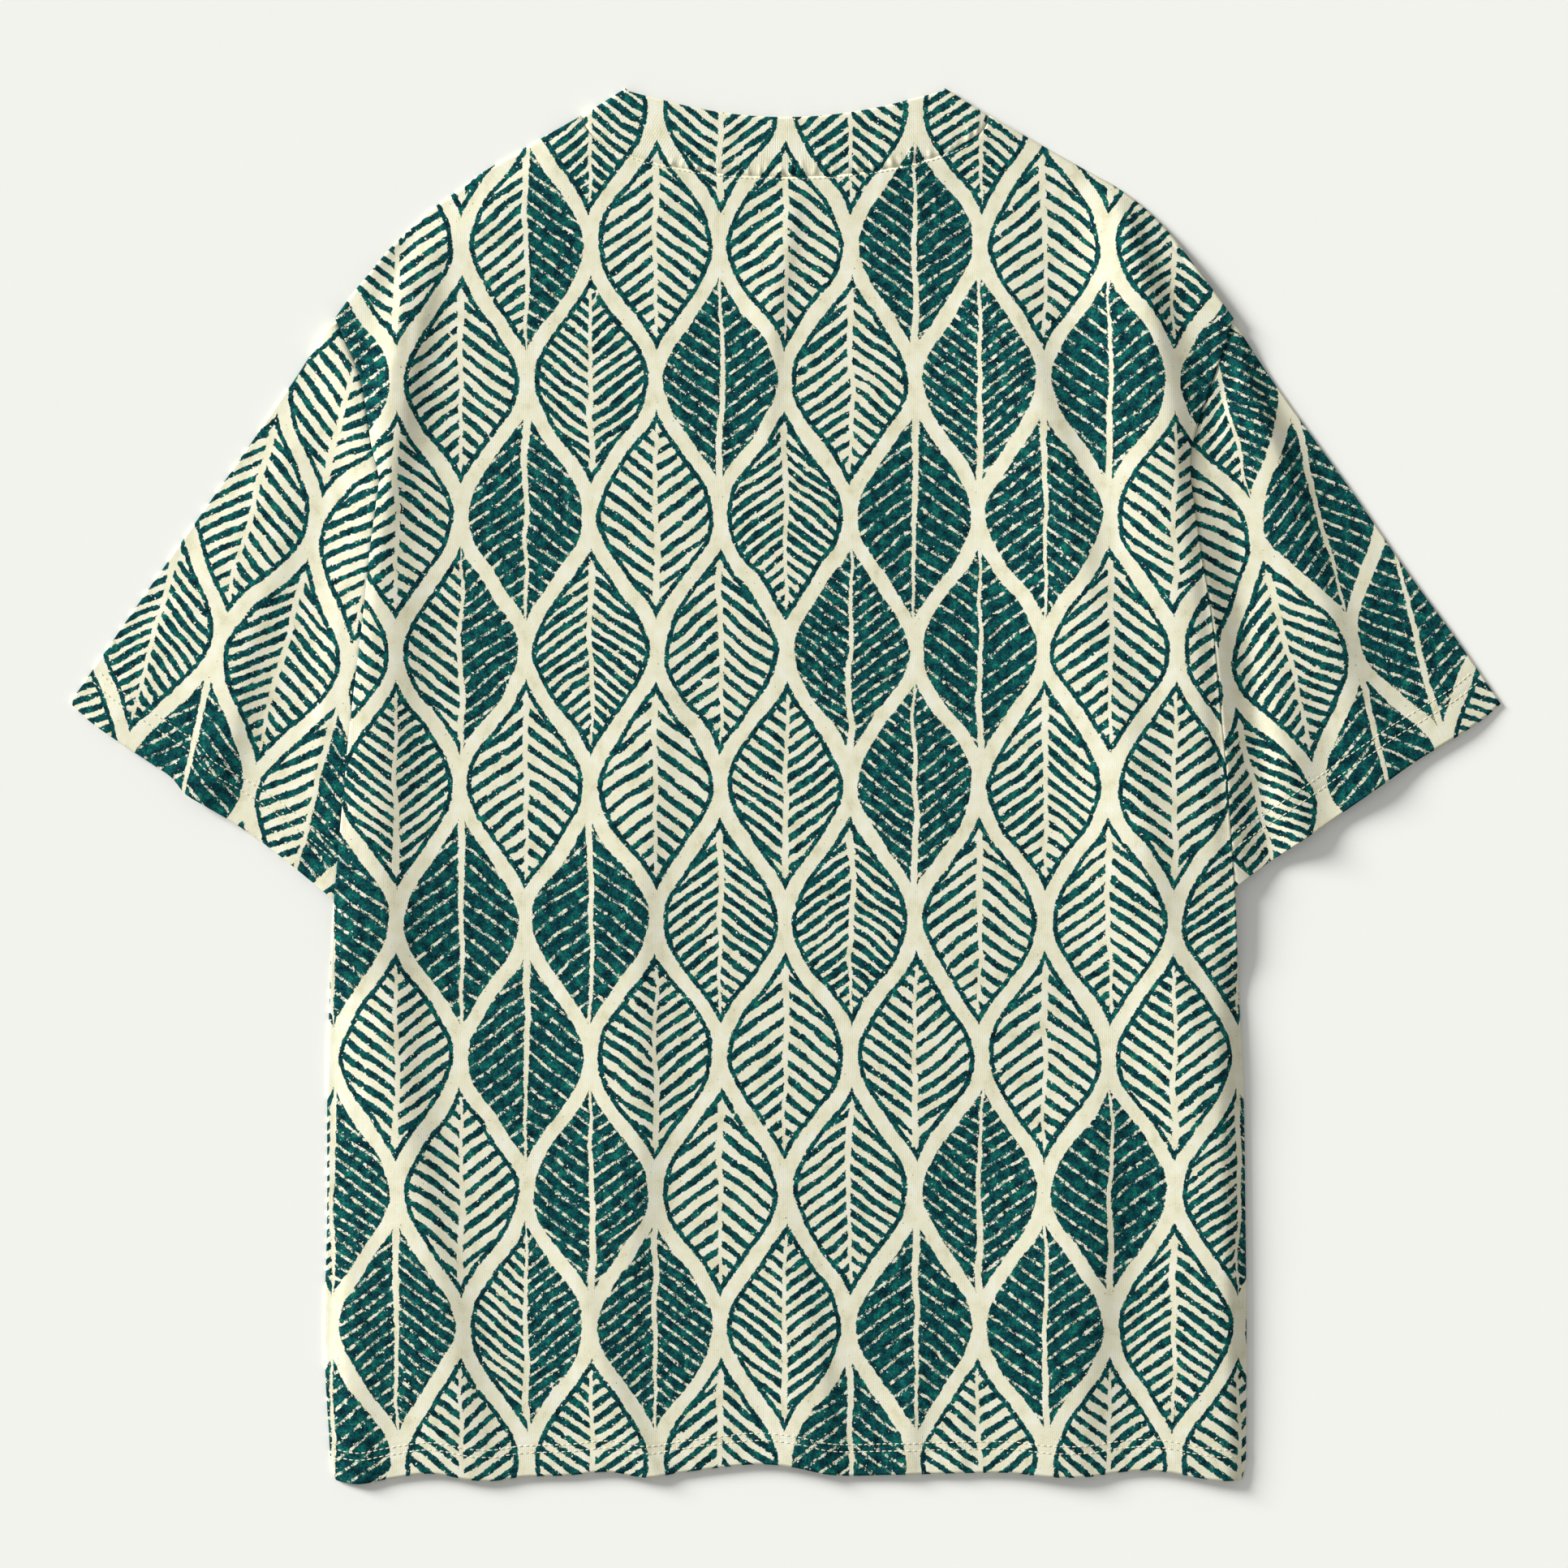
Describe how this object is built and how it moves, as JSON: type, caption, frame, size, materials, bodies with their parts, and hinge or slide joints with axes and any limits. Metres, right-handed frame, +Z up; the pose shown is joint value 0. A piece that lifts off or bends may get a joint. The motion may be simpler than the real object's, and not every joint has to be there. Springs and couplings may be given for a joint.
{
  "type": "t-shirt",
  "caption": "Short-sleeved crew-neck T-shirt in printed cotton jersey, laid flat with its back up, with soft lengthwise folds.",
  "frame": {"origin": "on the surface that the shirt lies on, at the middle of the space that it covers", "axes": "+Z up, out of the back panel; +Y from the hem to the neck; +X to the right as the shirt is seen from above"},
  "size_m": [0.7943, 0.7743, 0.0111],
  "materials": {
    "printed_jersey": "matte cotton jersey, printed in dark teal on warm cream",
    "printed_rib": "matte cotton rib, printed in dark teal on warm cream",
    "thread": "matte spun sewing thread"
  },
  "bodies": {
    "root": {"back": "printed_jersey", "front": "printed_jersey", "sleeve_left": "printed_jersey", "sleeve_right": "printed_jersey", "collar": "printed_rib"}
  },
  "joints": []
}
